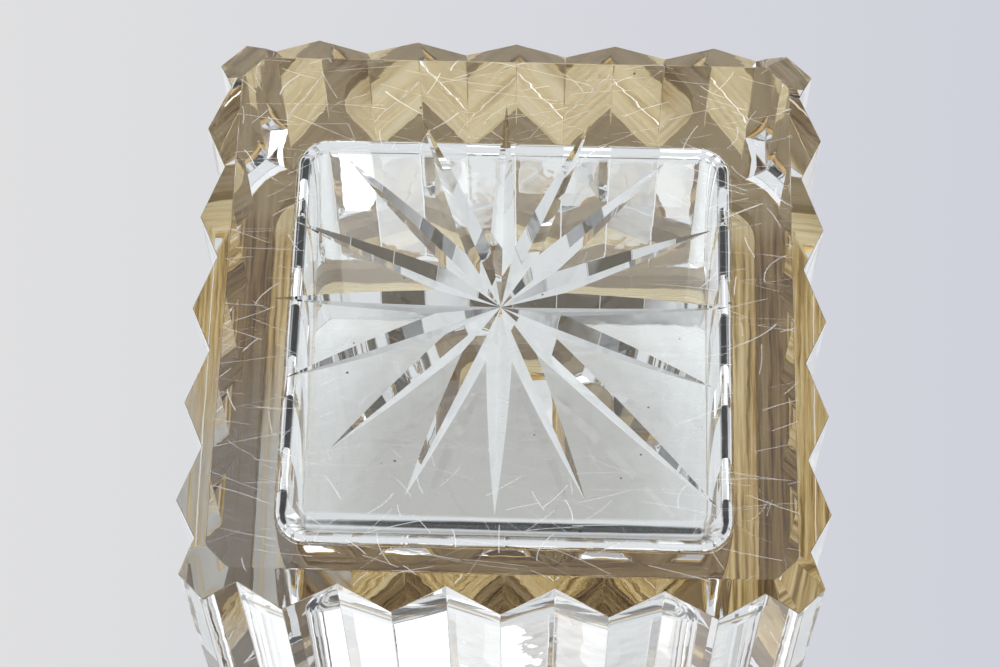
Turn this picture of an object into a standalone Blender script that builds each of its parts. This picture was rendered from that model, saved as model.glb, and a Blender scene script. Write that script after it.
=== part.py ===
"""Square cut-crystal powder jar: a prism-cut glass box with a star-cut base and a hinged glass lid.

Both glasses are bedded in gilt brass mounts, and the mounts are joined by a knuckle hinge at the back.
Metres, +Z up. The origin is the centre of the base face, the front is at -Y and the hinge at +Y.
"""

import math

import bmesh
import bpy
from mathutils import Matrix, Vector

# Glass outline, seen from above. A ridge is an outer edge of the prism cuts, a valley an inner one.
RIDGE_HALF = 0.0480  # centre to the ridges
CUT_DEPTH = 0.0034  # ridge to valley
RIDGES_PER_SIDE = 5  # odd, with one in the middle
END_VALLEY = 0.42  # the last valley of a side, in pitches beyond its last full ridge
END_FACET = 0.0049  # run of the short facet from that valley to the corner
CORNER_SETBACK = 0.0051  # the corner's own two ridges, in from the sharp corner, along each side
CORNER_DROP = 0.0012  # and in from the line of the side's ridges

# Jar glass, from the base up.
BASE_INSET = 0.0018  # valley line to the straight edge of the base face
BASE_CORNER_CUT = 0.0034
BEVEL_SLOPE = 0.566  # rise over run of the ground bevels
CORNER_EASE = 0.974  # a rounded corner's outer facets stand at this share of the middle one's distance
SHOULDER_INSET = 0.0016  # ridge line to the edge of the flat shoulder that each mount rests on
SHOULDER_CORNER_CUT = 0.0056
JAR_SHOULDER_Z = 0.0675  # where the prism cuts end under the mount
JAR_NECK_HEIGHT = 0.0055  # from that shoulder to the ground rim
WALL_THICKNESS = 0.0135  # ridge line to the well
FLOOR_THICKNESS = 0.0150
WELL_CORNER_R = 0.0052
WELL_FILLET_R = 0.0045  # round edge between floor and walls
WELL_DRAFT = 0.0006  # the mouth is this much wider on each side

# Star on the base face. Like any hand-cut star it is a little off centre, and one ray ran on.
STAR_RAYS = 16
STAR_X = 0.0012
STAR_Y = 0.0005
STAR_MARGIN = 0.0087  # edge of the base face to the tips of the rays
STAR_HALF_WIDTH = 0.00205  # of a groove, at the centre of the star
STAR_DEPTH = 0.0014
STAR_STEPS = 7  # straight lengths that make one curved groove
LONG_RAY = 10  # counted from +X, in sixteenths of a turn
LONG_RAY_RUN = 0.0119  # beyond the other tips

# Necks that the mounts hold, and the mounts themselves.
NECK_INSET = 0.0070  # ridge line to the neck
NECK_CORNER_R = 0.0060
SEAT_GAP = 0.0003  # between faces that rest on each other
LIP_GAP = 0.0009  # between a mount's lip and the neck
BEDDING = 0.0007  # thickness of the setting compound over the rim
MOUNT_WALL = 0.0010
MOUNT_HOLLOW = 0.0036  # room for compound between the neck and the mount's outer wall
BEAD = 0.0005  # raised edge moulding of each mount
BEAD_HEIGHT = 0.0014
FLANGE_SETBACK = 0.0013  # the mount's flange stops short of the well
GALLERY_WALL = 0.0010
GALLERY_HEIGHT = 0.0016
GALLERY_CLEARANCE = 0.0004  # between the gallery and the upper mount, which it locates

# Lid glass.
LID_MOUNT_HEIGHT = 0.0064
LID_EDGE_HEIGHT = 0.0056  # prism-cut edge between its two bevels, at the ridges
LID_RISE = 0.0046  # from the top of that edge to the flat table
LID_BEVEL_WIDTH = 0.0110
LID_TABLE_CORNER_CUT = 0.0030

# Hinge and thumb lift.
KNUCKLES = 5
KNUCKLE_LENGTH = 0.0072
KNUCKLE_GAP = 0.0003
KNUCKLE_R = 0.0022
KNUCKLE_SINK = 0.0002  # the knuckles stand this much into the line of the leaf's inner face
PIN_R = 0.0009
PIN_CLEARANCE = 0.00005
LEAF_THICKNESS = 0.0010
LEAF_MARGIN = 0.00035  # from the upper leaf's far edge to the top of the upper mount
LEAF_WIDTH = 0.0420
FINIAL_R = 0.0019
FINIAL_FACE = 0.0017  # from the finial's centre to its flat face against the knuckle
STOP_REACH = 0.0036  # from the hinge axis to the tip of the stop lugs
LID_OPEN_ANGLE = 100.0  # where the stop lugs meet the lower leaf
STOP_CLEARANCE = 0.0001
RIVET_R = 0.0008
RIVET_CLEARANCE = 0.00005
RIVET_HEAD_R = 0.0014
RIVET_HEAD_HEIGHT = 0.0008
LEAF_RIVET_X = 0.0168
THUMB_RIVET_X = 0.0060
THUMB_WIDTH = 0.0150
THUMB_PLATE_HEIGHT = 0.0050
THUMB_LIP_WIDTH = 0.0088
THUMB_LIP_THICKNESS = 0.0012

ROUND_STEPS = 6  # straight lengths in a quarter round
BARREL_STEPS = 24
RIVET_STEPS = 12
DOME_STEPS = 4
JOIN = 0.0030  # how far one solid runs into another that it is joined to or cut by
LEAST_R = 0.0004  # a rounded corner is never sharper than this

# Worked out from the above.
VALLEY_HALF = RIDGE_HALF - CUT_DEPTH
LAST_VALLEY = RIDGE_HALF - CORNER_SETBACK - END_FACET
RIDGE_PITCH = LAST_VALLEY / (RIDGES_PER_SIDE // 2 + END_VALLEY)
BASE_HALF = VALLEY_HALF - BASE_INSET
SHOULDER_HALF = RIDGE_HALF - SHOULDER_INSET
WELL_HALF = RIDGE_HALF - WALL_THICKNESS
NECK_HALF = RIDGE_HALF - NECK_INSET
STAR_RADIUS = BASE_HALF - STAR_MARGIN
FLANGE_INNER_HALF = WELL_HALF + FLANGE_SETBACK
LID_MOUNT_INNER_HALF = FLANGE_INNER_HALF + GALLERY_WALL + GALLERY_CLEARANCE
LID_TABLE_HALF = RIDGE_HALF - LID_BEVEL_WIDTH
BEDDING_INNER_HALF = NECK_HALF + SEAT_GAP
BEDDING_OUTER_HALF = NECK_HALF + MOUNT_HOLLOW
MOUNT_LIP_HALF = NECK_HALF + LIP_GAP
MOUNT_INNER_HALF = BEDDING_OUTER_HALF + SEAT_GAP
MOUNT_HALF = MOUNT_INNER_HALF + MOUNT_WALL
JAR_GLASS_Z = JAR_SHOULDER_Z + JAR_NECK_HEIGHT
JAR_SKIRT_Z = JAR_SHOULDER_Z + SEAT_GAP
JAR_LIP_TOP_Z = JAR_SKIRT_Z + MOUNT_WALL
JAR_FLANGE_Z = JAR_GLASS_Z + 2 * SEAT_GAP + BEDDING
JAR_MOUNT_TOP_Z = JAR_FLANGE_Z + MOUNT_WALL
LID_MOUNT_Z = JAR_MOUNT_TOP_Z + SEAT_GAP
LID_FLANGE_TOP_Z = LID_MOUNT_Z + MOUNT_WALL
LID_GLASS_Z = LID_FLANGE_TOP_Z + 2 * SEAT_GAP + BEDDING
LID_MOUNT_TOP_Z = LID_MOUNT_Z + LID_MOUNT_HEIGHT
LID_LIP_Z = LID_MOUNT_TOP_Z - MOUNT_WALL
LID_EDGE_Z = LID_MOUNT_TOP_Z + SEAT_GAP
LID_EDGE_TOP_Z = LID_EDGE_Z + (RIDGE_HALF - SHOULDER_HALF) * BEVEL_SLOPE + LID_EDGE_HEIGHT
LID_TABLE_Z = LID_EDGE_TOP_Z + LID_RISE
HINGE_Z = (JAR_MOUNT_TOP_Z + LID_MOUNT_Z) / 2
LEAF_HEIGHT = LID_MOUNT_TOP_Z - LEAF_MARGIN - HINGE_Z
LEAF_Y = MOUNT_HALF + BEAD + SEAT_GAP
HINGE_Y = LEAF_Y + KNUCKLE_R - KNUCKLE_SINK
BARREL_LENGTH = KNUCKLES * KNUCKLE_LENGTH
THUMB_LIP_Y = -HINGE_Y - STOP_REACH  # as far in front as the hinge is behind, so the origin is central


def clear_scene():
    for obj in list(bpy.data.objects):
        bpy.data.objects.remove(obj, do_unlink=True)


def finish(name, colour, metallic, roughness, transmission=0.0):
    """A Principled material."""
    material = bpy.data.materials.new(name)
    material.use_nodes = True
    shader = material.node_tree.nodes["Principled BSDF"]
    shader.inputs["Base Color"].default_value = (*colour, 1.0)
    shader.inputs["Metallic"].default_value = metallic
    shader.inputs["Roughness"].default_value = roughness
    shader.inputs["Transmission Weight"].default_value = transmission
    return material


def to_object(name, bm, material):
    """The bmesh as an object with its faces pointing out."""
    bmesh.ops.recalc_face_normals(bm, faces=bm.faces)
    mesh = bpy.data.meshes.new(name)
    bm.to_mesh(mesh)
    bm.free()
    mesh.materials.append(material)
    obj = bpy.data.objects.new(name, mesh)
    bpy.context.scene.collection.objects.link(obj)
    return obj


def combine(obj, other, operation):
    """A Boolean with a helper object, which is hidden."""
    other.hide_render = True
    other.display_type = "WIRE"
    modifier = obj.modifiers.new(other.name, "BOOLEAN")
    modifier.operation = operation
    modifier.object = other
    return obj


def shade_round(obj):
    """Smooth shading across angles of less than 30 degrees."""
    obj.data.shade_smooth()
    obj.data.set_sharp_from_angle(angle=math.pi / 6)


# Outlines, as lists of (x, y) running anticlockwise.


def prism_outline():
    """The zigzag outline of the prism-cut glass."""
    half_side = [(0.0, RIDGE_HALF)]
    for step in range(1, RIDGES_PER_SIDE // 2 + 1):
        half_side.append(((step - 0.5) * RIDGE_PITCH, VALLEY_HALF))
        half_side.append((step * RIDGE_PITCH, RIDGE_HALF))
    half_side.append((LAST_VALLEY, VALLEY_HALF))
    half_side.append((RIDGE_HALF - CORNER_SETBACK, RIDGE_HALF - CORNER_DROP))
    side = [(-along, out) for along, out in reversed(half_side[1:])] + half_side
    points = []
    for turn in range(4):
        quarter = Matrix.Rotation(turn * math.pi / 2, 2)
        points += [tuple(quarter @ Vector((along, -out))) for along, out in side]
    return points


def rounded_square(half, radius):
    points = []
    for turn in range(4):
        quarter = Matrix.Rotation(turn * math.pi / 2, 2)
        for step in range(ROUND_STEPS + 1):
            angle = step / ROUND_STEPS * math.pi / 2
            corner = Vector((half - radius, half - radius))
            arc = Vector((math.cos(angle), math.sin(angle))) * radius
            points.append(tuple(quarter @ (corner + arc)))
    return points


def neck_ring(half):
    """A rounded square parallel to the neck."""
    return rounded_square(half, max(NECK_CORNER_R + half - NECK_HALF, LEAST_R))


# Solids.


def rings_of(bm, levels):
    return [[bm.verts.new((x, y, z)) for x, y in outline] for z, outline in levels]


def wrap(bm, lower, upper):
    """Faces between two rings of as many points."""
    for i in range(len(lower)):
        j = (i + 1) % len(lower)
        bm.faces.new((lower[i], lower[j], upper[j], upper[i]))


def stack(levels):
    """A closed solid through outlines given as (z, points), from the bottom up."""
    bm = bmesh.new()
    rings = rings_of(bm, levels)
    for lower, upper in zip(rings, rings[1:]):
        wrap(bm, lower, upper)
    bm.faces.new(rings[0])
    bm.faces.new(rings[-1])
    return bm


def channel(section):
    """A closed frame that carries a section of (half-width, z) points all round the neck's outline."""
    bm = bmesh.new()
    rings = rings_of(bm, [(z, neck_ring(half)) for half, z in section])
    for ring, following in zip(rings, rings[1:] + rings[:1]):
        wrap(bm, ring, following)
    return bm


def box(low, high):
    bm = bmesh.new()
    bmesh.ops.create_cube(bm, size=1.0)
    size = [b - a for a, b in zip(low, high)]
    middle = [(a + b) / 2 for a, b in zip(low, high)]
    bmesh.ops.scale(bm, vec=size, verts=bm.verts)
    bmesh.ops.translate(bm, vec=middle, verts=bm.verts)
    return bm


def rod(radius, start, end, steps=BARREL_STEPS):
    """A cylinder between two points."""
    start, end = Vector(start), Vector(end)
    along = end - start
    turn = along.to_track_quat("Z", "Y").to_matrix().to_4x4()
    bm = bmesh.new()
    bmesh.ops.create_cone(
        bm,
        cap_ends=True,
        segments=steps,
        radius1=radius,
        radius2=radius,
        depth=along.length,
        matrix=Matrix.Translation((start + end) / 2) @ turn,
    )
    return bm


def slice_off(bm, point, outward):
    """Removes what lies beyond a plane and closes each separate cut."""
    everything = bm.verts[:] + bm.edges[:] + bm.faces[:]
    bmesh.ops.bisect_plane(
        bm, geom=everything, dist=1e-7, plane_co=point, plane_no=outward, clear_outer=True
    )
    bmesh.ops.edgeloop_fill(bm, edges=[edge for edge in bm.edges if edge.is_boundary])


def grind_bevels(bm, edge_half, corner_cut, edge_z, slope, face_up):
    """Grinds the four sides and the rounded corners of a flat face to sloping bevels."""
    corner_distance = (2 * edge_half - corner_cut) / math.sqrt(2)
    beside_corner = corner_distance * CORNER_EASE
    for turn in range(4):
        for angle, distance in (
            (0.0, edge_half),
            (30.0, beside_corner),
            (45.0, corner_distance),
            (60.0, beside_corner),
        ):
            heading = math.radians(angle) + turn * math.pi / 2
            away = Vector((math.cos(heading), math.sin(heading), 0.0))
            outward = away * slope + Vector((0.0, 0.0, 1.0 if face_up else -1.0))
            slice_off(bm, away * distance + Vector((0.0, 0.0, edge_z)), outward)


# The jar glass.


def star_groove(radius):
    """One V-groove of the star, along +X from the centre, cut up into the base face."""
    below = 0.0005  # the cutter starts outside the glass
    least = 0.02  # of the full depth is left at the tip
    bm = bmesh.new()
    sections = []
    for step in range(STAR_STEPS + 1):
        share = step / STAR_STEPS
        left = 1.0 - share * share + least
        spread = (STAR_DEPTH * left + below) / (STAR_DEPTH * left)
        width = STAR_HALF_WIDTH * left * spread
        at = share * radius
        sections.append(
            [
                bm.verts.new((at, -width, -below)),
                bm.verts.new((at, 0.0, STAR_DEPTH * left)),
                bm.verts.new((at, width, -below)),
            ]
        )
    for near, far in zip(sections, sections[1:]):
        wrap(bm, near, far)
    bm.faces.new(sections[0])
    bm.faces.new(sections[-1])
    return bm


def jar_glass(crystal):
    bm = stack([(0.0, prism_outline()), (JAR_SHOULDER_Z, prism_outline())])
    grind_bevels(bm, BASE_HALF, BASE_CORNER_CUT, 0.0, BEVEL_SLOPE, face_up=False)
    grind_bevels(bm, SHOULDER_HALF, SHOULDER_CORNER_CUT, JAR_SHOULDER_Z, BEVEL_SLOPE, face_up=True)
    jar = to_object("jar_glass", bm, crystal)

    neck = stack(
        [
            (JAR_SHOULDER_Z - JOIN, neck_ring(NECK_HALF)),
            (JAR_GLASS_Z, neck_ring(NECK_HALF)),
        ]
    )
    combine(jar, to_object("jar_neck", neck, crystal), "UNION")

    levels = []
    for step in range(ROUND_STEPS + 1):
        angle = step / ROUND_STEPS * math.pi / 2
        inset = WELL_FILLET_R * (1.0 - math.sin(angle))
        rise = WELL_FILLET_R * (1.0 - math.cos(angle))
        corner = max(WELL_CORNER_R - inset, LEAST_R)
        levels.append((FLOOR_THICKNESS + rise, rounded_square(WELL_HALF - inset, corner)))
    mouth = rounded_square(WELL_HALF + WELL_DRAFT, WELL_CORNER_R + WELL_DRAFT)
    levels.append((JAR_GLASS_Z + JOIN, mouth))
    combine(jar, to_object("jar_well", stack(levels), crystal), "DIFFERENCE")

    for ray in range(STAR_RAYS):
        groove = star_groove(STAR_RADIUS + (LONG_RAY_RUN if ray == LONG_RAY else 0.0))
        turn = Matrix.Rotation(ray * 2 * math.pi / STAR_RAYS, 4, "Z")
        place = Matrix.Translation((STAR_X, STAR_Y, 0.0)) @ turn
        bmesh.ops.transform(groove, matrix=place, verts=groove.verts)
        combine(jar, to_object(f"star_ray_{ray + 1}", groove, crystal), "DIFFERENCE")
    return jar


# The mounts and the compound that beds the glass in them.


def lower_mount(gilt):
    gallery_half = FLANGE_INNER_HALF + GALLERY_WALL
    section = [
        (MOUNT_LIP_HALF, JAR_SKIRT_Z),
        (MOUNT_HALF + BEAD, JAR_SKIRT_Z),
        (MOUNT_HALF + BEAD, JAR_SKIRT_Z + BEAD_HEIGHT),
        (MOUNT_HALF, JAR_SKIRT_Z + BEAD_HEIGHT + BEAD),
        (MOUNT_HALF, JAR_MOUNT_TOP_Z - BEAD_HEIGHT - BEAD),
        (MOUNT_HALF + BEAD, JAR_MOUNT_TOP_Z - BEAD_HEIGHT),
        (MOUNT_HALF + BEAD, JAR_MOUNT_TOP_Z),
        (gallery_half, JAR_MOUNT_TOP_Z),
        (gallery_half, JAR_MOUNT_TOP_Z + GALLERY_HEIGHT),
        (FLANGE_INNER_HALF, JAR_MOUNT_TOP_Z + GALLERY_HEIGHT),
        (FLANGE_INNER_HALF, JAR_FLANGE_Z),
        (MOUNT_INNER_HALF, JAR_FLANGE_Z),
        (MOUNT_INNER_HALF, JAR_LIP_TOP_Z),
        (MOUNT_LIP_HALF, JAR_LIP_TOP_Z),
    ]
    return to_object("lower_mount", channel(section), gilt)


def jar_bedding(shellac):
    rim_z = JAR_GLASS_Z + SEAT_GAP
    section = [
        (BEDDING_INNER_HALF, JAR_LIP_TOP_Z + SEAT_GAP),
        (BEDDING_OUTER_HALF, JAR_LIP_TOP_Z + SEAT_GAP),
        (BEDDING_OUTER_HALF, rim_z + BEDDING),
        (FLANGE_INNER_HALF + SEAT_GAP, rim_z + BEDDING),
        (FLANGE_INNER_HALF + SEAT_GAP, rim_z),
        (BEDDING_INNER_HALF, rim_z),
    ]
    return to_object("jar_bedding", channel(section), shellac)


def upper_mount(gilt):
    section = [
        (LID_MOUNT_INNER_HALF, LID_MOUNT_Z),
        (MOUNT_HALF + BEAD, LID_MOUNT_Z),
        (MOUNT_HALF + BEAD, LID_MOUNT_Z + BEAD_HEIGHT),
        (MOUNT_HALF, LID_MOUNT_Z + BEAD_HEIGHT + BEAD),
        (MOUNT_HALF, LID_MOUNT_TOP_Z - BEAD_HEIGHT - BEAD),
        (MOUNT_HALF + BEAD, LID_MOUNT_TOP_Z - BEAD_HEIGHT),
        (MOUNT_HALF + BEAD, LID_MOUNT_TOP_Z),
        (MOUNT_LIP_HALF, LID_MOUNT_TOP_Z),
        (MOUNT_LIP_HALF, LID_LIP_Z),
        (MOUNT_INNER_HALF, LID_LIP_Z),
        (MOUNT_INNER_HALF, LID_FLANGE_TOP_Z),
        (LID_MOUNT_INNER_HALF, LID_FLANGE_TOP_Z),
    ]
    return to_object("upper_mount", channel(section), gilt)


def lid_bedding(shellac):
    seat_z = LID_FLANGE_TOP_Z + SEAT_GAP
    section = [
        (LID_MOUNT_INNER_HALF + SEAT_GAP, seat_z),
        (BEDDING_OUTER_HALF, seat_z),
        (BEDDING_OUTER_HALF, LID_LIP_Z - SEAT_GAP),
        (BEDDING_INNER_HALF, LID_LIP_Z - SEAT_GAP),
        (BEDDING_INNER_HALF, seat_z + BEDDING),
        (LID_MOUNT_INNER_HALF + SEAT_GAP, seat_z + BEDDING),
    ]
    return to_object("lid_bedding", channel(section), shellac)


# The lid glass.


def lid_glass(crystal):
    bm = stack([(LID_EDGE_Z, prism_outline()), (LID_TABLE_Z, prism_outline())])
    grind_bevels(bm, SHOULDER_HALF, SHOULDER_CORNER_CUT, LID_EDGE_Z, BEVEL_SLOPE, face_up=False)
    table_slope = LID_RISE / (RIDGE_HALF - LID_TABLE_HALF)
    grind_bevels(bm, LID_TABLE_HALF, LID_TABLE_CORNER_CUT, LID_TABLE_Z, table_slope, face_up=True)
    lid = to_object("lid_glass", bm, crystal)
    neck = stack(
        [
            (LID_GLASS_Z, neck_ring(NECK_HALF)),
            (LID_EDGE_Z + JOIN, neck_ring(NECK_HALF)),
        ]
    )
    return combine(lid, to_object("lid_neck", neck, crystal), "UNION")


# The hinge.


def knuckle_span(index):
    """The two ends of a knuckle, along X."""
    left = -BARREL_LENGTH / 2 + index * KNUCKLE_LENGTH
    return left + KNUCKLE_GAP / 2, left + KNUCKLE_LENGTH - KNUCKLE_GAP / 2


def stop_lug(left, right):
    """A lug out of the back of an upper knuckle. It meets the lower leaf when the lid is open."""
    past_level = math.radians(LID_OPEN_ANGLE - 90.0)
    to_leaf = HINGE_Y - LEAF_Y - LEAF_THICKNESS
    drop = (to_leaf - STOP_CLEARANCE - STOP_REACH * math.sin(past_level)) / math.cos(past_level)
    low = (left, HINGE_Y + KNUCKLE_R / 2, HINGE_Z - drop)
    high = (right, HINGE_Y + STOP_REACH, HINGE_Z + KNUCKLE_R / 3)
    return box(low, high)


def hinge_leaf(name, side, first, gilt):
    """A leaf with every second knuckle. side is 1 above the hinge axis and -1 below it."""
    far_z = HINGE_Z + side * LEAF_HEIGHT
    near_z = HINGE_Z + side * (KNUCKLE_R + KNUCKLE_GAP)
    low, high = sorted((far_z, near_z))
    leaf_back = LEAF_Y + LEAF_THICKNESS
    plate = box((-LEAF_WIDTH / 2, LEAF_Y, low), (LEAF_WIDTH / 2, leaf_back, high))
    leaf = to_object(name, plate, gilt)
    inside = LEAF_THICKNESS / 4
    for index in range(first, KNUCKLES, 2):
        left, right = knuckle_span(index)
        root_low, root_high = sorted((HINGE_Z, near_z + side * inside))
        root = box((left, LEAF_Y, root_low), (right, leaf_back, root_high))
        combine(leaf, to_object(f"{name}_root_{index}", root, gilt), "UNION")
        barrel = rod(KNUCKLE_R, (left, HINGE_Y, HINGE_Z), (right, HINGE_Y, HINGE_Z))
        combine(leaf, to_object(f"{name}_barrel_{index}", barrel, gilt), "UNION")
        if side > 0:
            lug = to_object(f"{name}_lug_{index}", stop_lug(left, right), gilt)
            combine(leaf, lug, "UNION")
    bore = rod(
        PIN_R + PIN_CLEARANCE,
        (-BARREL_LENGTH, HINGE_Y, HINGE_Z),
        (BARREL_LENGTH, HINGE_Y, HINGE_Z),
    )
    return combine(leaf, to_object(f"{name}_bore", bore, gilt), "DIFFERENCE")


def pin_end():
    return BARREL_LENGTH / 2 + FINIAL_R


def hinge_pin(brass):
    bm = rod(PIN_R, (-pin_end(), HINGE_Y, HINGE_Z), (pin_end(), HINGE_Y, HINGE_Z))
    return to_object("hinge_pin", bm, brass)


def hinge_finial(name, side, gilt):
    """A turned ball pressed over one end of the pin."""
    centre = Vector((side * (BARREL_LENGTH / 2 + KNUCKLE_GAP + FINIAL_FACE), HINGE_Y, HINGE_Z))
    bm = bmesh.new()
    turn = Matrix.Rotation(math.pi / 2, 4, "Y")
    bmesh.ops.create_uvsphere(
        bm,
        u_segments=BARREL_STEPS,
        v_segments=BARREL_STEPS // 2,
        radius=FINIAL_R,
        matrix=Matrix.Translation(centre) @ turn,
    )
    slice_off(bm, centre - Vector((side * FINIAL_FACE, 0, 0)), Vector((-side, 0, 0)))
    ball = to_object(name, bm, gilt)
    depth = side * (pin_end() + SEAT_GAP)
    bore = rod(PIN_R + PIN_CLEARANCE, (0.0, HINGE_Y, HINGE_Z), (depth, HINGE_Y, HINGE_Z))
    return combine(ball, to_object(f"{name}_bore", bore, gilt), "DIFFERENCE")


# Rivets, and what they hold.


def rivet_hole(obj, x, y, z):
    """A hole along Y through a wall at y."""
    start, end = (x, y - JOIN, z), (x, y + JOIN, z)
    hole = rod(RIVET_R + RIVET_CLEARANCE, start, end, steps=RIVET_STEPS)
    label = f"{obj.name}_hole_{x * 1000:.0f}"
    combine(obj, to_object(label, hole, obj.data.materials[0]), "DIFFERENCE")


def rivet(name, x, z, side, plate_y, brass):
    """A domed rivet through a plate and the mount behind it. side is 1 at the back and -1 in front.

    plate_y is the distance of the plate's outer face from the centre.
    """
    seat = plate_y + SEAT_GAP / 2
    profile = [(RIVET_R, MOUNT_INNER_HALF), (RIVET_R, seat)]
    for step in range(DOME_STEPS):
        angle = step / DOME_STEPS * math.pi / 2
        profile.append((RIVET_HEAD_R * math.cos(angle), seat + RIVET_HEAD_HEIGHT * math.sin(angle)))
    bm = bmesh.new()
    loops = []
    for radius, out in profile:
        loop = []
        for step in range(RIVET_STEPS):
            angle = step / RIVET_STEPS * 2 * math.pi
            place = (x + radius * math.cos(angle), side * out, z + radius * math.sin(angle))
            loop.append(bm.verts.new(place))
        loops.append(loop)
    for near, far in zip(loops, loops[1:]):
        wrap(bm, near, far)
    bm.faces.new(loops[0])
    tip = bm.verts.new((x, side * (seat + RIVET_HEAD_HEIGHT), z))
    for vert, following in zip(loops[-1], loops[-1][1:] + loops[-1][:1]):
        bm.faces.new((vert, following, tip))
    return to_object(name, bm, brass)


def thumb_lift(gilt):
    """A plate on the front of the upper mount with a lip to lift the lid by."""
    plate_y = -LEAF_Y
    middle_z = LID_MOUNT_Z + LID_MOUNT_HEIGHT / 2
    plate = box(
        (-THUMB_WIDTH / 2, plate_y - LEAF_THICKNESS, middle_z - THUMB_PLATE_HEIGHT / 2),
        (THUMB_WIDTH / 2, plate_y, middle_z + THUMB_PLATE_HEIGHT / 2),
    )
    lift = to_object("thumb_lift", plate, gilt)
    root_y = plate_y - LEAF_THICKNESS / 2
    reach = root_y - THUMB_LIP_Y
    outline = []
    for step in range(2 * ROUND_STEPS + 1):
        angle = step / ROUND_STEPS * math.pi / 2
        outline.append((THUMB_LIP_WIDTH / 2 * math.cos(angle), root_y - reach * math.sin(angle)))
    lip = stack(
        [
            (middle_z - THUMB_LIP_THICKNESS / 2, outline),
            (middle_z + THUMB_LIP_THICKNESS / 2, outline),
        ]
    )
    return combine(lift, to_object("thumb_lip", lip, gilt), "UNION")


def build():
    clear_scene()
    crystal = finish("crystal", (0.95, 0.96, 0.95), 0.0, 0.02, transmission=1.0)
    gilt = finish("gilt_brass", (0.78, 0.57, 0.24), 1.0, 0.28)
    brass = finish("brass", (0.72, 0.55, 0.27), 1.0, 0.35)
    shellac = finish("shellac_bedding", (0.55, 0.40, 0.20), 0.0, 0.5)

    jar_glass(crystal)
    jar_bedding(shellac)
    lower = lower_mount(gilt)
    lid_glass(crystal)
    lid_bedding(shellac)
    upper = upper_mount(gilt)

    leaf_lower = hinge_leaf("hinge_leaf_lower", -1, 0, gilt)
    leaf_upper = hinge_leaf("hinge_leaf_upper", 1, 1, gilt)
    hinge_pin(brass)
    hinge_finial("hinge_finial_left", -1, gilt)
    hinge_finial("hinge_finial_right", 1, gilt)

    leaf_outer_y = LEAF_Y + LEAF_THICKNESS
    for leaf, mount, side, word in (
        (leaf_lower, lower, -1, "lower"),
        (leaf_upper, upper, 1, "upper"),
    ):
        z = HINGE_Z + side * (LEAF_HEIGHT + KNUCKLE_R) / 2
        for x, end in ((-LEAF_RIVET_X, "left"), (0.0, "middle"), (LEAF_RIVET_X, "right")):
            rivet_hole(leaf, x, MOUNT_HALF, z)
            rivet_hole(mount, x, MOUNT_HALF, z)
            rivet(f"hinge_rivet_{word}_{end}", x, z, 1, leaf_outer_y, brass)

    lift = thumb_lift(gilt)
    z = LID_MOUNT_Z + LID_MOUNT_HEIGHT / 2
    for x, end in ((-THUMB_RIVET_X, "left"), (THUMB_RIVET_X, "right")):
        rivet_hole(lift, x, -MOUNT_HALF, z)
        rivet_hole(upper, x, -MOUNT_HALF, z)
        rivet(f"thumb_rivet_{end}", x, z, -1, leaf_outer_y, brass)

    for obj in bpy.data.objects:
        if not obj.hide_render:
            shade_round(obj)


build()
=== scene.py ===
"""Square cut-crystal powder jar with a hinged crystal lid, both in gilt brass mounts.

Metres, +Z up, base face at z = 0, hinge at +Y. The glass is clear lead crystal cut into prisms
all round, with a star in the base that shows through the well.
"""

import math

import bmesh
import bpy
from mathutils import Matrix, Vector


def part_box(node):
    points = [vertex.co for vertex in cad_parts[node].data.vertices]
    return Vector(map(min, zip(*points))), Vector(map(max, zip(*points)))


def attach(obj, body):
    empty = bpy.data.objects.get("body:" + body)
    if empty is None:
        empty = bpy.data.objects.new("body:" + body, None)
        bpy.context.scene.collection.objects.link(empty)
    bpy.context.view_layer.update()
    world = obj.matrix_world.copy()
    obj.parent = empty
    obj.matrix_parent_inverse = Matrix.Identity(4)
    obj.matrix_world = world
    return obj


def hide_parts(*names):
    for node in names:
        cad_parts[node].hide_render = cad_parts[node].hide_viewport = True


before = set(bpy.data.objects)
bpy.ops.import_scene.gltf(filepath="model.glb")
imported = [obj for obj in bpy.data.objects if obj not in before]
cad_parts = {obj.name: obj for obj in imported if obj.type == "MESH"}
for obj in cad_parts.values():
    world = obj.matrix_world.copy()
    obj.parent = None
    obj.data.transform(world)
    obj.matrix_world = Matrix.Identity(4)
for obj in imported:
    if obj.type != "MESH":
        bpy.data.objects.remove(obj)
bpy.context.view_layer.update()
MM = 0.001

# Camera.
# The jar is looked at from below its base, a little from the front, with its walls running away
# from the eye, as when it is turned over to see the star.

VIEW_RIGHT = Vector((-0.99961, 0.02723, 0.00558))
VIEW_UP = Vector((0.02211, 0.90052, -0.43424))
VIEW_BACK = Vector((-0.01685, -0.43395, -0.90078))

CAMERA_PLACE = Vector((-5.536, -177.6, -359.136)) * MM
CAMERA_LENS = 95.9  # in millimetres, as is the sensor's width
SENSOR_WIDTH = 36.0

camera_data = bpy.data.cameras.new("camera")
camera_data.lens = CAMERA_LENS
camera_data.sensor_width = SENSOR_WIDTH
camera_data.clip_start = 10 * MM
camera = bpy.data.objects.new("camera", camera_data)
camera_axes = Matrix((VIEW_RIGHT, VIEW_UP, VIEW_BACK)).transposed()
camera.matrix_world = Matrix.Translation(CAMERA_PLACE) @ camera_axes.to_4x4()
bpy.context.scene.collection.objects.link(camera)
bpy.context.scene.camera = camera

# Jar glass.
# A thick-walled box of lead crystal, pressed in a mould with a plunger that left the well smooth,
# and then cut on the wheel: prisms down the sides, a sixteen-ray star under the floor, and ground
# bevels round the base and the shoulder. The neck stands up inside the mount.

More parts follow.
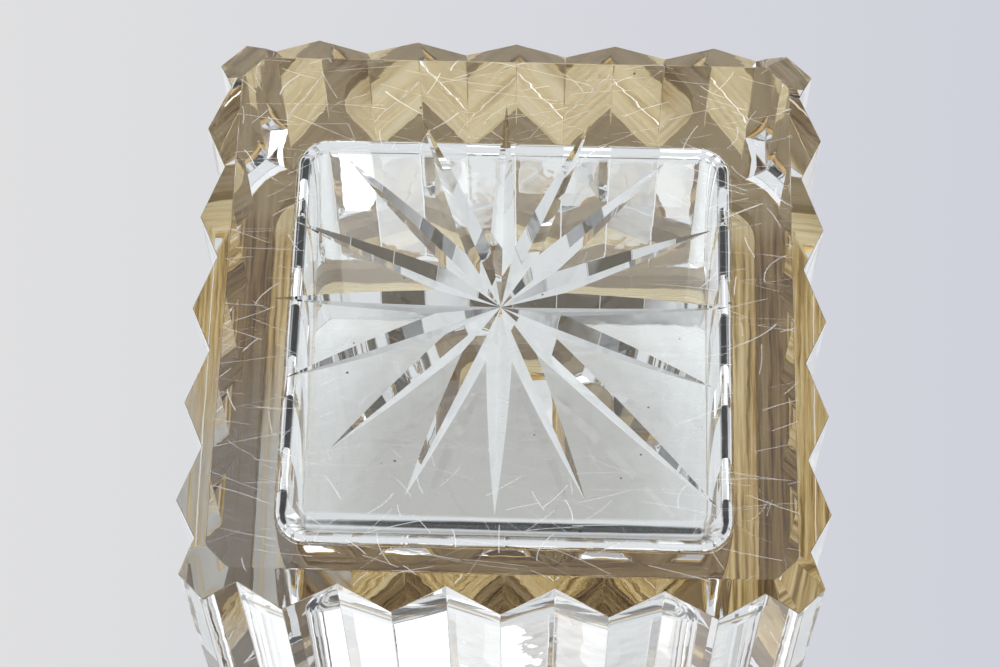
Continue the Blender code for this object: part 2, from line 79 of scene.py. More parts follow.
CUT_DEPTH = 3.4 * MM  # ridge to valley
RIDGES_BESIDE_MIDDLE = 2
END_VALLEY = 0.42  # the last valley, in pitches beyond the last full ridge
END_FACET = 4.9 * MM  # from the last valley to the corner's ridge, along the side
CORNER_SETBACK = 5.1 * MM
CORNER_DROP = 1.2 * MM
BASE_HALF = 42.8 * MM
BASE_CORNER_CUT = 3.4 * MM
BEVEL_SLOPE = 0.566  # how far a ground bevel falls for each step out
CORNER_EASE = 0.974  # the extra cuts beside each corner, as a share of the corner's distance
SHOULDER_INSET = 1.6 * MM
SHOULDER_CORNER_CUT = 5.6 * MM
JAR_SHOULDER_Z = 67.5 * MM
NECK_HALF = 41.0 * MM
NECK_CORNER_R = 6.0 * MM
WELL_HALF = 34.5 * MM
WELL_FLOOR_Z = 15.0 * MM
WELL_CORNER_R = 5.2 * MM
WELL_FILLET_R = 4.5 * MM
WELL_DRAFT = 0.6 * MM
STAR_RAYS = 16
STAR_CENTRE = Vector((1.2 * MM, 0.5 * MM, 0.0))
STAR_RADIUS = 34.1 * MM
STAR_HALF_WIDTH = 2.05 * MM
STAR_DEPTH = 1.4 * MM
STAR_STEPS = 10
RAY_TIP = 0.02  # how much of its width and depth a ray keeps at its tip
LONG_RAY = 10
LONG_RAY_RUN = 11.9 * MM  # where the wheel ran on past the ray's end
EDGE_SOFTNESS = 0.12 * MM  # polished edges are never quite sharp
ROUND_SEGMENTS = 10
JOIN = 3.0 * MM  # how far a solid runs into the one it is joined to or cut from
MERGE = 0.001 * MM
SCRATCH_HALF_WIDTH = 0.055 * MM  # real ones are finer, but would not show
SCRATCH_SETS = (  # heading in degrees, length, spacing and a number that shifts the cells
    (8.0, 11.0 * MM, 3.2 * MM, 1),
    (38.0, 8.0 * MM, 3.0 * MM, 2),
    (66.0, 10.0 * MM, 3.6 * MM, 3),
    (97.0, 14.0 * MM, 3.4 * MM, 4),
    (128.0, 7.0 * MM, 2.6 * MM, 5),
    (160.0, 16.0 * MM, 4.2 * MM, 6),
)
GRIT_SPACING = 5.5 * MM
WAVE_WIDTH = 5.0 * MM
WAVE_HEIGHT = 0.020 * MM
WEAR_REACH = 0.3 * MM  # how far into the glass the rubbed face's marks go
WEAR_PAST = 0.5 * MM  # and how far past it, so that no rounding loses them
WEAR_FADE = 0.2 * MM

jar_low, jar_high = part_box("jar_glass")
RIDGE_HALF = jar_high.x
JAR_RIM_Z = jar_high.z


def linear(code, alpha=1.0):
    """An sRGB hex colour as linear values."""
    values = []
    for start in (0, 2, 4):
        share = int(code[start : start + 2], 16) / 255
        values.append(share / 12.92 if share <= 0.04045 else ((share + 0.055) / 1.055) ** 2.4)
    return (*values, alpha)


def add(tree, kind, links=None, steps=(), **settings):
    """A node with its settings, and its inputs given as values or as other nodes' outputs.

    The steps are the (position, hex colour) pairs of a colour ramp.
    """
    node = tree.nodes.new(kind)
    for name, value in settings.items():
        setattr(node, name, value)
    for name, value in (links or {}).items():
        if isinstance(value, bpy.types.NodeSocket):
            tree.links.new(value, node.inputs[name])
        else:
            node.inputs[name].default_value = value
    for place, (position, code) in enumerate(steps):
        elements = node.color_ramp.elements
        element = elements[place] if place < len(elements) else elements.new(1.0)
        element.position = position
        element.color = linear(code)
    return node


def new_material(name, **inputs):
    """A material, its node tree and its shader, with values that are the same all over."""
    material = bpy.data.materials.new(name)
    material.use_nodes = True
    tree = material.node_tree
    shader = tree.nodes["Principled BSDF"]
    for key, value in inputs.items():
        shader.inputs[key.replace("_", " ")].default_value = value
    return material, tree, shader


def to_piece(name, bm, material):
    """The bmesh as a shown object with its faces pointing out."""
    bmesh.ops.recalc_face_normals(bm, faces=bm.faces)
    mesh = bpy.data.meshes.new(name)
    bm.to_mesh(mesh)
    bm.free()
    mesh.materials.append(material)
    piece = bpy.data.objects.new(name, mesh)
    bpy.context.scene.collection.objects.link(piece)
    return piece


def work(piece, *others):
    """Joins or cuts the piece with (operation, bmesh) pairs, and keeps the result."""
    helpers = []
    for operation, bm in others:
        helper = to_piece(f"{piece.name}_tool", bm, piece.data.materials[0])
        modifier = piece.modifiers.new(helper.name, "BOOLEAN")
        modifier.operation = operation
        modifier.solver = "EXACT"
        modifier.use_self = True
        modifier.object = helper
        helpers.append(helper)
    bpy.context.view_layer.update()
    shaped = piece.evaluated_get(bpy.context.evaluated_depsgraph_get())
    mesh = bpy.data.meshes.new_from_object(shaped)
    piece.modifiers.clear()
    piece.data = mesh
    for helper in helpers:
        bpy.data.objects.remove(helper, do_unlink=True)
    return piece


def soften(piece, round_below=32.0):
    """Smooth shading over the rounded edges, with flat faces kept flat."""
    piece.data.shade_smooth()
    piece.data.set_sharp_from_angle(angle=math.radians(round_below))
    weighted = piece.modifiers.new("face_weights", "WEIGHTED_NORMAL")
    weighted.keep_sharp = True
    return piece


def prism_blank(low_z, high_z):
    """A block with its sides cut into prisms and its corners trimmed to two ridges."""
    valley_half = RIDGE_HALF - CUT_DEPTH
    last_valley = RIDGE_HALF - CORNER_SETBACK - END_FACET
    pitch = last_valley / (RIDGES_BESIDE_MIDDLE + END_VALLEY)
    corner = (RIDGE_HALF - CORNER_SETBACK, RIDGE_HALF - CORNER_DROP)
    half_side = []
    for step in range(1, RIDGES_BESIDE_MIDDLE + 1):
        half_side += [((step - 0.5) * pitch, valley_half), (step * pitch, RIDGE_HALF)]
    half_side += [(last_valley, valley_half), corner]
    side = [(-x, -y) for x, y in reversed(half_side)] + [(0.0, -RIDGE_HALF)]
    side += [(x, -y) for x, y in half_side] + [(corner[1], -corner[0])]
    bm = bmesh.new()
    verts = [bm.verts.new((x, y, low_z)) for x, y in side]
    edges = [bm.edges.new(pair) for pair in zip(verts, verts[1:])]
    bmesh.ops.spin(
        bm,
        geom=verts + edges,
        cent=(0, 0, 0),
        axis=(0, 0, 1),
        angle=1.5 * math.pi,
        steps=3,
        use_duplicate=True,
    )
    bmesh.ops.remove_doubles(bm, verts=bm.verts, dist=MERGE)
    bmesh.ops.contextual_create(bm, geom=bm.edges[:])
    raised = bmesh.ops.extrude_face_region(bm, geom=bm.faces[:])["geom"]
    bmesh.ops.translate(
        bm,
        vec=(0, 0, high_z - low_z),
        verts=[part for part in raised if isinstance(part, bmesh.types.BMVert)],
    )
    bmesh.ops.recalc_face_normals(bm, faces=bm.faces)
    return bm


def grind_bevels(bm, edge_half, corner_cut, edge_z, slope, face_up):
    """Grinds the four sides and the rounded corners of a flat face to sloping bevels."""
    corner_distance = (2 * edge_half - corner_cut) / math.sqrt(2)
    beside_corner = corner_distance * CORNER_EASE
    distances = ((0.0, edge_half), (30.0, beside_corner), (45.0, corner_distance), (60.0, beside_corner))
    for turn in range(4):
        for angle, distance in distances:
            heading = math.radians(angle + 90.0 * turn)
            away = Vector((math.cos(heading), math.sin(heading), 0.0))
            bmesh.ops.bisect_plane(
                bm,
                geom=bm.verts[:] + bm.edges[:] + bm.faces[:],
                dist=MERGE / 10,
                plane_co=away * distance + Vector((0.0, 0.0, edge_z)),
                plane_no=away * slope + Vector((0.0, 0.0, 1.0 if face_up else -1.0)),
                clear_outer=True,
            )
            bmesh.ops.edgeloop_fill(bm, edges=[edge for edge in bm.edges if edge.is_boundary])


def ease_edges(bm, width, least_angle=12.0, segments=2):
    """Rounds every edge that is sharper than an angle, over a small width."""
    sharp = [
        edge
        for edge in bm.edges
        if edge.is_manifold and edge.calc_face_angle(0.0) > math.radians(least_angle)
    ]
    bmesh.ops.bevel(
        bm,
        geom=sharp,
        offset=width,
        offset_type="OFFSET",
        affect="EDGES",
        segments=segments,
        profile=0.5,
        material=-1,
        clamp_overlap=False,
    )


def rounded_block(half, corner_r, low_z, high_z, draft=0.0, fillet=0.0):
    """A square block with rounded upright edges, and a rounded bottom edge if it has a fillet."""
    bm = bmesh.new()
    bmesh.ops.create_cube(bm, size=1.0)
    bmesh.ops.scale(bm, vec=(2 * half, 2 * half, high_z - low_z), verts=bm.verts)
    bmesh.ops.translate(bm, vec=(0, 0, (low_z + high_z) / 2), verts=bm.verts)
    top = [vert for vert in bm.verts if vert.co.z > (low_z + high_z) / 2]
    bmesh.ops.scale(bm, vec=(1 + draft / half, 1 + draft / half, 1), verts=top)
    upright = [edge for edge in bm.edges if abs(edge.verts[0].co.z - edge.verts[1].co.z) > MERGE]
    bevel = {"affect": "EDGES", "segments": ROUND_SEGMENTS, "profile": 0.5, "material": -1}
    bevel["offset_type"] = "OFFSET"
    bmesh.ops.bevel(bm, geom=upright, offset=corner_r, **bevel)
    if fillet:
        bottom = [edge for edge in bm.edges if all(vert.co.z < low_z + MERGE for vert in edge.verts)]
        bmesh.ops.bevel(bm, geom=bottom, offset=fillet, **bevel)
    return bm


def star_cutter():
    """The path of the mitre wheel for all the rays: a tapered four-sided rod for each."""
    bm = bmesh.new()
    for ray in range(STAR_RAYS):
        length = STAR_RADIUS + (LONG_RAY_RUN if ray == LONG_RAY else 0.0)
        cut = bmesh.new()
        bmesh.ops.create_cone(
            cut,
            cap_ends=True,
            segments=4,
            radius1=1.0,
            radius2=1.0,
            depth=length,
            matrix=Matrix.Translation((length / 2, 0, 0)) @ Matrix.Rotation(math.pi / 2, 4, "Y"),
        )
        long_edges = [e for e in cut.edges if abs(e.verts[0].co.x - e.verts[1].co.x) > length / 2]
        bmesh.ops.subdivide_edges(cut, edges=long_edges, cuts=STAR_STEPS - 1, use_grid_fill=True)
        for vert in cut.verts:
            left = 1.0 + RAY_TIP - (vert.co.x / length) ** 2
            vert.co.y *= STAR_HALF_WIDTH * left
            vert.co.z *= STAR_DEPTH * left
        turn = Matrix.Rotation(ray * 2 * math.pi / STAR_RAYS, 4, "Z")
        bmesh.ops.transform(cut, matrix=Matrix.Translation(STAR_CENTRE) @ turn, verts=cut.verts)
        bmesh.ops.recalc_face_normals(cut, faces=cut.faces)
        single = bpy.data.meshes.new("ray")
        cut.to_mesh(single)
        cut.free()
        bm.from_mesh(single)
        bpy.data.meshes.remove(single)
    return bm


def scratches(tree, place, turn_degrees, length, spacing, seed):
    """Hairline scratches that run more or less one way, from 0 to 1: at most one in each cell.

    Each cell's random colour says how its scratch leans, how it bows, and whether there is one.
    """
    turned = add(
        tree,
        "ShaderNodeMapping",
        {
            "Vector": place,
            "Location": (seed * 1.7, seed * 0.9, 0.0),
            "Rotation": (0.0, 0.0, math.radians(turn_degrees)),
            "Scale": (1 / length, 1 / spacing, 0.0),
        },
    ).outputs["Vector"]
    cell = add(
        tree, "ShaderNodeTexVoronoi", {"Vector": turned, "Scale": 1.0}, voronoi_dimensions="2D"
    )
    chance = add(tree, "ShaderNodeSeparateColor", {"Color": cell.outputs["Color"]})
    offset = add(
        tree,
        "ShaderNodeVectorMath",
        {0: turned, 1: cell.outputs["Position"]},
        operation="SUBTRACT",
    ).outputs["Vector"]
    local = add(tree, "ShaderNodeSeparateXYZ", {"Vector": offset})
    lean = add(
        tree, "ShaderNodeMapRange", {"Value": chance.outputs["Red"], "To Min": -0.9, "To Max": 0.9}
    ).outputs["Result"]
    across = add(
        tree,
        "ShaderNodeMath",
        {0: local.outputs["X"], 1: lean, 2: local.outputs["Y"]},
        operation="MULTIPLY_ADD",
    ).outputs["Value"]
    bow = add(
        tree, "ShaderNodeMath", {0: local.outputs["X"], 1: local.outputs["X"]}, operation="MULTIPLY"
    ).outputs["Value"]
    bend = add(
        tree, "ShaderNodeMapRange", {"Value": chance.outputs["Green"], "To Min": -0.2, "To Max": 0.3}
    ).outputs["Result"]
    bent = add(
        tree, "ShaderNodeMath", {0: bow, 1: bend, 2: across}, operation="MULTIPLY_ADD"
    ).outputs["Value"]
    away = add(tree, "ShaderNodeMath", {0: bent}, operation="ABSOLUTE").outputs["Value"]
    line = add(
        tree,
        "ShaderNodeMapRange",
        {
            "Value": away,
            "From Min": SCRATCH_HALF_WIDTH / spacing,
            "From Max": 0.25 * SCRATCH_HALF_WIDTH / spacing,
        },
    ).outputs["Result"]
    present = add(
        tree, "ShaderNodeMapRange", {"Value": chance.outputs["Blue"], "From Min": 0.5, "From Max": 1.0}
    ).outputs["Result"]
    return add(tree, "ShaderNodeMath", {0: line, 1: present}, operation="MULTIPLY").outputs["Value"]


def crystal_material(name, worn_low, worn_high):
    """Lead crystal, cut and acid polished: water-clear, bright and a little wavy.

    The face between two heights is the one that gets rubbed, and it carries fine pale scratches,
    closest round the edge, and the specks of grit that made them.
    """
    material, tree, shader = new_material(name, IOR=1.54, Roughness=0.0, Transmission_Weight=1.0)
    place = add(tree, "ShaderNodeTexCoord").outputs["Object"]
    parts = add(tree, "ShaderNodeSeparateXYZ", {"Vector": place})
    worn = add(
        tree,
        "ShaderNodeMapRange",
        {"Value": parts.outputs["Z"], "From Min": worn_low, "From Max": worn_low + WEAR_FADE},
    ).outputs["Result"]
    unworn = add(
        tree,
        "ShaderNodeMapRange",
        {"Value": parts.outputs["Z"], "From Min": worn_high - WEAR_FADE, "From Max": worn_high},
    ).outputs["Result"]
    face = add(tree, "ShaderNodeMath", {0: worn, 1: unworn}, operation="SUBTRACT").outputs["Value"]
    marks = 0.0
    for turn, length, spacing, seed in SCRATCH_SETS:
        line = scratches(tree, place, turn, length, spacing, seed)
        marks = add(tree, "ShaderNodeMath", {0: marks, 1: line}, operation="MAXIMUM").outputs["Value"]
    out_x = add(tree, "ShaderNodeMath", {0: parts.outputs["X"]}, operation="ABSOLUTE").outputs["Value"]
    out_y = add(tree, "ShaderNodeMath", {0: parts.outputs["Y"]}, operation="ABSOLUTE").outputs["Value"]
    out = add(tree, "ShaderNodeMath", {0: out_x, 1: out_y}, operation="MAXIMUM").outputs["Value"]
    rim = add(
        tree,
        "ShaderNodeMapRange",
        {"Value": out, "From Min": 20 * MM, "From Max": 36 * MM, "To Min": 0.2, "To Max": 0.6},
    ).outputs["Result"]
    amount = add(tree, "ShaderNodeMath", {0: face, 1: rim}, operation="MULTIPLY").outputs["Value"]
    marks = add(tree, "ShaderNodeMath", {0: marks, 1: amount}, operation="MULTIPLY").outputs["Value"]
    speck = add(
        tree, "ShaderNodeTexVoronoi", {"Vector": place, "Scale": 1 / GRIT_SPACING}
    ).outputs["Distance"]
    grit = add(
        tree, "ShaderNodeMapRange", {"Value": speck, "From Min": 0.045, "From Max": 0.03}
    ).outputs["Result"]
    grit = add(tree, "ShaderNodeMath", {0: grit, 1: face}, operation="MULTIPLY").outputs["Value"]
    tint = add(
        tree,
        "ShaderNodeMix",
        {"Factor": grit, "A": linear("FCFDFC"), "B": linear("3A332A")},
        data_type="RGBA",
    )
    tree.links.new(tint.outputs["Result"], shader.inputs["Base Color"])
    clear = add(tree, "ShaderNodeMapRange", {"Value": marks, "To Min": 1.0, "To Max": 0.35})
    tree.links.new(clear.outputs["Result"], shader.inputs["Transmission Weight"])
    rough = add(tree, "ShaderNodeMapRange", {"Value": marks, "To Max": 0.45})
    tree.links.new(rough.outputs["Result"], shader.inputs["Roughness"])
    waves = add(
        tree,
        "ShaderNodeTexNoise",
        {"Vector": place, "Scale": 1 / WAVE_WIDTH, "Detail": 1.5, "Roughness": 0.45},
    ).outputs["Fac"]
    height = add(
        tree, "ShaderNodeMath", {0: marks, 1: -0.15, 2: waves}, operation="MULTIPLY_ADD"
    ).outputs["Value"]
    bump = add(tree, "ShaderNodeBump", {"Height": height, "Distance": WAVE_HEIGHT})
    tree.links.new(bump.outputs["Normal"], shader.inputs["Normal"])
    return material


base_z = jar_low.z
jar_crystal = crystal_material(
    "lead_crystal_cut_and_worn", base_z - WEAR_PAST, base_z + WEAR_REACH
)

blank = prism_blank(jar_low.z, JAR_SHOULDER_Z)
grind_bevels(blank, BASE_HALF, BASE_CORNER_CUT, 0.0, BEVEL_SLOPE, face_up=False)
shoulder_half = RIDGE_HALF - SHOULDER_INSET
grind_bevels(blank, shoulder_half, SHOULDER_CORNER_CUT, JAR_SHOULDER_Z, BEVEL_SLOPE, face_up=True)
ease_edges(blank, EDGE_SOFTNESS)
jar = to_piece("cut_jar", blank, jar_crystal)
work(
    jar,
    ("UNION", rounded_block(NECK_HALF, NECK_CORNER_R, JAR_SHOULDER_Z - JOIN, JAR_RIM_Z)),
    (
        "DIFFERENCE",
        rounded_block(
            WELL_HALF,
            WELL_CORNER_R,
            WELL_FLOOR_Z,
            JAR_RIM_Z + JOIN,
            draft=WELL_DRAFT,
            fillet=WELL_FILLET_R,
        ),
    ),
    ("DIFFERENCE", star_cutter()),
)
soften(jar)
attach(jar, "jar")
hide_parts("jar_glass")

# Lid glass.
# A slab of the same crystal with the prisms run round its edge, a wide ground bevel up to a flat
# polished table, and a neck below that drops into the upper mount.

LID_TABLE_HALF = 37.0 * MM
LID_TABLE_CORNER_CUT = 3.0 * MM
LID_EDGE_Z = 82.3 * MM
LID_EDGE_TOP_Z = 88.8 * MM

lid_low, lid_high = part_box("lid_glass")
lid_crystal = crystal_material(
    "lead_crystal_slab", lid_high.z - WEAR_REACH, lid_high.z + WEAR_PAST
)
slab = prism_blank(LID_EDGE_Z, lid_high.z)
grind_bevels(slab, shoulder_half, SHOULDER_CORNER_CUT, LID_EDGE_Z, BEVEL_SLOPE, face_up=False)
table_slope = (lid_high.z - LID_EDGE_TOP_Z) / (RIDGE_HALF - LID_TABLE_HALF)
grind_bevels(slab, LID_TABLE_HALF, LID_TABLE_CORNER_CUT, lid_high.z, table_slope, face_up=True)
ease_edges(slab, EDGE_SOFTNESS)
lid = to_piece("cut_lid", slab, lid_crystal)
work(lid, ("UNION", rounded_block(NECK_HALF, NECK_CORNER_R, lid_low.z, LID_EDGE_Z + JOIN)))
soften(lid)
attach(lid, "lid")
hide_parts("lid_glass")

# Bedding.
# The compound that holds each glass in its mount was run in warm and wiped along the sides. It
# wets the glass, so its golden streaks show right through the walls of the jar.

SEAM = 0.04 * MM  # the compound keys into the glass by this much
LID_BED_HALF = 37.5 * MM
SHOULDER_SEAM_HALF = 45.9 * MM  # squeezed out under the mount, almost to its edge
SHOULDER_SEAM_TOP = 0.28 * MM  # above the shoulder
NECK_SEAM = 0.6 * MM  # thickness against the neck
MOUTH_CLEARANCE = 0.1 * MM  # wiped flush with the mouth of the well
LEAST_CORNER_R = 0.4 * MM
STREAK_WIDTH = 0.7 * MM
STREAK_RUN = 22.0 * MM
STREAK_RELIEF = 0.08 * MM


def along_the_sides(tree, across, along):
    """Coordinates that run with the four sides: finely across them and slowly along them."""
    place = add(tree, "ShaderNodeTexCoord").outputs["Object"]
    parts = add(tree, "ShaderNodeSeparateXYZ", {"Vector": place})
    size_x = add(
        tree, "ShaderNodeMath", {0: parts.outputs["X"]}, operation="ABSOLUTE"
    ).outputs["Value"]
    size_y = add(
        tree, "ShaderNodeMath", {0: parts.outputs["Y"]}, operation="ABSOLUTE"
    ).outputs["Value"]
    out = add(tree, "ShaderNodeMath", {0: size_x, 1: size_y}, operation="MAXIMUM").outputs["Value"]
    side = add(tree, "ShaderNodeMath", {0: size_x, 1: size_y}, operation="GREATER_THAN")
    run = add(
        tree,
        "ShaderNodeMix",
        {"Factor": side.outputs["Value"], "A": parts.outputs["X"], "B": parts.outputs["Y"]},
        data_type="FLOAT",
    ).outputs["Result"]
    shaped = add(
        tree, "ShaderNodeCombineXYZ", {"X": out, "Y": run, "Z": parts.outputs["Z"]}
    ).outputs["Vector"]
    scaled = add(
        tree,
        "ShaderNodeMapping",
        {"Vector": shaped, "Scale": (1 / across, 1 / along, 1 / across)},
    )
    return scaled.outputs["Vector"], parts


def bedding_material():
    """Shellac and rosin compound, wiped along the sides: satin, golden, streaked with brown.

    It has painted light that makes it paler at the back, a painted silvery reflection on one side
    towards the front, and painted shade that makes the sides of the neck darker than the rim.
    """
    material, tree, shader = new_material("rosin_bedding_wiped", Roughness=0.5)
    streak_place, parts = along_the_sides(tree, STREAK_WIDTH, STREAK_RUN)
    streaks = add(
        tree,
        "ShaderNodeTexNoise",
        {"Vector": streak_place, "Scale": 1.0, "Detail": 4.0, "Roughness": 0.62},
    ).outputs["Fac"]
    golden = add(
        tree,
        "ShaderNodeValToRGB",
        {"Fac": streaks},
        steps=(
            (0.24, "4A3820"),
            (0.38, "9A7C44"),
            (0.48, "CDAE6C"),
            (0.60, "E6CF98"),
            (0.78, "EFE3C4"),
        ),
    ).outputs["Color"]
    # Painted light: the compound is made paler towards the back.
    at_back = add(
        tree,
        "ShaderNodeMapRange",
        {"Value": parts.outputs["Y"], "From Min": 33 * MM, "From Max": 37 * MM},
    ).outputs["Result"]
    paler = add(
        tree,
        "ShaderNodeMix",
        {"Factor": at_back, "A": golden, "B": linear("CDBB92")},
        data_type="RGBA",
        blend_type="SCREEN",
    ).outputs["Result"]
    # Painted reflection: a silvery grey patch, broken up by noise, on one side towards the front.
    veil_noise = add(
        tree,
        "ShaderNodeTexNoise",
        {"Vector": streak_place, "Scale": 0.35, "Detail": 2.0, "Roughness": 0.5},
    ).outputs["Fac"]
    patchy = add(
        tree, "ShaderNodeMapRange", {"Value": veil_noise, "From Min": 0.38, "From Max": 0.55}
    ).outputs["Result"]
    on_one_side = add(
        tree,
        "ShaderNodeMapRange",
        {"Value": parts.outputs["X"], "From Min": 33 * MM, "From Max": 36 * MM},
    ).outputs["Result"]
    in_front = add(
        tree,
        "ShaderNodeMapRange",
        {"Value": parts.outputs["Y"], "From Min": 16 * MM, "From Max": -6 * MM},
    ).outputs["Result"]
    reflection_patch = add(
        tree, "ShaderNodeMath", {0: on_one_side, 1: in_front}, operation="MULTIPLY"
    ).outputs["Value"]
    reflection_patch = add(tree, "ShaderNodeMath", {0: reflection_patch, 1: patchy}, operation="MULTIPLY").outputs["Value"]
    with_painted_reflection = add(
        tree,
        "ShaderNodeMix",
        {"Factor": reflection_patch, "A": paler, "B": linear("D0CEC8")},
        data_type="RGBA",
    ).outputs["Result"]
    # Painted shade: the sides of the neck are darkened; the top of the rim is left as it is.
    darker = add(
        tree,
        "ShaderNodeMix",
        {"Factor": 0.8, "A": with_painted_reflection, "B": linear("66502E")},
        data_type="RGBA",
        blend_type="MULTIPLY",
    ).outputs["Result"]
    on_rim = add(
        tree,
        "ShaderNodeMapRange",
        {
            "Value": parts.outputs["Z"],
            "From Min": JAR_RIM_Z - 0.6 * MM,
            "From Max": JAR_RIM_Z - 0.2 * MM,
        },
    ).outputs["Result"]
    with_painted_shade = add(
        tree, "ShaderNodeMix", {"Factor": on_rim, "A": darker, "B": with_painted_reflection}, data_type="RGBA"
    ).outputs["Result"]
    tree.links.new(with_painted_shade, shader.inputs["Base Color"])
    bump = add(
        tree, "ShaderNodeBump", {"Height": streaks, "Strength": 0.6, "Distance": STREAK_RELIEF}
    )
    tree.links.new(bump.outputs["Normal"], shader.inputs["Normal"])
    return material


rosin = bedding_material()


def corner_radius(half):
    """The corner radius that keeps a line at this half-width an even way off the neck."""
    return max(NECK_CORNER_R + half - NECK_HALF, LEAST_CORNER_R)


def side_channel(section):
    """A closed frame that carries a section of (half-width, z) points all round the neck."""
    bm = bmesh.new()
    half, start_z = section[0]
    bmesh.ops.create_grid(bm, x_segments=1, y_segments=1, size=half)
    bmesh.ops.translate(bm, vec=(0, 0, start_z), verts=bm.verts)
    bmesh.ops.bevel(
        bm,
        geom=bm.verts[:],
        offset=corner_radius(half),
        offset_type="OFFSET",
        affect="VERTICES",
        segments=ROUND_SEGMENTS,
        profile=0.5,
        material=-1,
    )
    bmesh.ops.delete(bm, geom=bm.faces[:], context="FACES_ONLY")
    ring = bm.edges[:]
    for next_half, next_z in section[1:] + section[:1]:
        run = bmesh.ops.extrude_edge_only(bm, edges=ring)["geom"]
        ring = [part for part in run if isinstance(part, bmesh.types.BMEdge)]
        for vert in [part for part in run if isinstance(part, bmesh.types.BMVert)]:
            sign = Vector((math.copysign(1, vert.co.x), math.copysign(1, vert.co.y)))
            radius = corner_radius(half)
            around = (vert.co.xy - sign * (half - radius)) / radius
            next_radius = corner_radius(next_half)
            vert.co.xy = sign * (next_half - next_radius) + around * next_radius
            vert.co.z = next_z
        half = next_half
    bmesh.ops.remove_doubles(bm, verts=bm.verts, dist=MERGE)
    bmesh.ops.recalc_face_normals(bm, faces=bm.faces)
    return bm


jar_bed_low, jar_bed_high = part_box("jar_bedding")
lid_bed_low, lid_bed_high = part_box("lid_bedding")
flange_half = WELL_HALF + WELL_DRAFT + MOUTH_CLEARANCE
jar_compound = side_channel(
    (
        (NECK_HALF - SEAM, JAR_SHOULDER_Z - SEAM),
        (SHOULDER_SEAM_HALF, JAR_SHOULDER_Z - SEAM),
        (SHOULDER_SEAM_HALF, JAR_SHOULDER_Z + SHOULDER_SEAM_TOP),
        (NECK_HALF + NECK_SEAM, JAR_SHOULDER_Z + SHOULDER_SEAM_TOP),
        (NECK_HALF + NECK_SEAM, jar_bed_low.z),
        (jar_bed_high.x, jar_bed_low.z),
        (jar_bed_high.x, jar_bed_high.z),
        (flange_half, jar_bed_high.z),
        (flange_half, JAR_RIM_Z - SEAM),
        (NECK_HALF - SEAM, JAR_RIM_Z - SEAM),
    )
)
lid_compound = side_channel(
    (
        (LID_BED_HALF, lid_bed_low.z),
        (lid_bed_high.x, lid_bed_low.z),
        (lid_bed_high.x, lid_bed_high.z),
        (NECK_HALF - SEAM, lid_bed_high.z),
        (NECK_HALF - SEAM, lid_low.z + SEAM),
        (LID_BED_HALF, lid_low.z + SEAM),
    )
)
for bm, node, body in ((jar_compound, "jar_bedding", "jar"), (lid_compound, "lid_bedding", "lid")):
    piece = to_piece(f"{body}_compound", bm, rosin)
    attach(piece, body)
    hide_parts(node)

# Mounts.
# Channels of brass rolled from strip and bent round the corners, with a bead along each edge,
# then fire gilt. The gilding is bright on the beads and has darkened in the cove.

MOUNT_EDGE = 0.22 * MM
BURNISH_WIDTH = 0.12 * MM
BURNISH_RUN = 14.0 * MM
GILT_CLOUD = 6.0 * MM
GILT_RELIEF = 0.02 * MM
FLAT_ANGLE = 0.5  # in degrees: faces that turn less than this are one face


def cad_copy(node):
    """A CAD node's shape as a merged bmesh with its flat faces whole."""
    bm = bmesh.new()
    bm.from_mesh(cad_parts[node].data)
    bmesh.ops.remove_doubles(bm, verts=bm.verts, dist=MERGE)
    bmesh.ops.dissolve_limit(
        bm,
        angle_limit=math.radians(FLAT_ANGLE),
        use_dissolve_boundaries=False,
        verts=bm.verts,
        edges=bm.edges,
    )
    return bm


def gilt_material(name, low_z, high_z):
    """Fire-gilt brass, burnished along the sides: warm and soft, browner in the hollows."""
    material, tree, shader = new_material(name, Metallic=1.0)
    line_place, parts = along_the_sides(tree, BURNISH_WIDTH, BURNISH_RUN)
    lines = add(
        tree,
        "ShaderNodeTexNoise",
        {"Vector": line_place, "Scale": 1.0, "Detail": 3.0, "Roughness": 0.6},
    ).outputs["Fac"]
    cloud_place = add(tree, "ShaderNodeTexCoord").outputs["Object"]
    clouds = add(
        tree,
        "ShaderNodeTexNoise",
        {"Vector": cloud_place, "Scale": 1 / GILT_CLOUD, "Detail": 5.0, "Roughness": 0.65},
    ).outputs["Fac"]
    middle = (low_z + high_z) / 2
    reach = (high_z - low_z) / 2
    from_middle = add(
        tree, "ShaderNodeMath", {0: parts.outputs["Z"], 1: middle}, operation="SUBTRACT"
    ).outputs["Value"]
    from_middle = add(
        tree, "ShaderNodeMath", {0: from_middle}, operation="ABSOLUTE"
    ).outputs["Value"]
    cove = add(
        tree,
        "ShaderNodeMapRange",
        {
            "Value": from_middle,
            "From Min": reach * 0.75,
            "From Max": reach * 0.35,
            "To Max": 0.30,
        },
    ).outputs["Result"]
    dull = add(tree, "ShaderNodeMath", {0: clouds, 1: cove}, operation="ADD").outputs["Value"]
    colour = add(
        tree,
        "ShaderNodeValToRGB",
        {"Fac": dull},
        steps=((0.30, "E9CB86"), (0.50, "D9B266"), (0.68, "B98C45"), (0.90, "7A5628")),
    )
    tree.links.new(colour.outputs["Color"], shader.inputs["Base Color"])
    rough = add(
        tree,
        "ShaderNodeMapRange",
        {"Value": dull, "From Min": 0.3, "From Max": 0.9, "To Min": 0.28, "To Max": 0.55},
    )
    tree.links.new(rough.outputs["Result"], shader.inputs["Roughness"])
    mixed = add(
        tree, "ShaderNodeMath", {0: clouds, 1: 0.8, 2: lines}, operation="MULTIPLY_ADD"
    ).outputs["Value"]
    bump = add(tree, "ShaderNodeBump", {"Height": mixed, "Strength": 0.5, "Distance": GILT_RELIEF})
    tree.links.new(bump.outputs["Normal"], shader.inputs["Normal"])
    return material


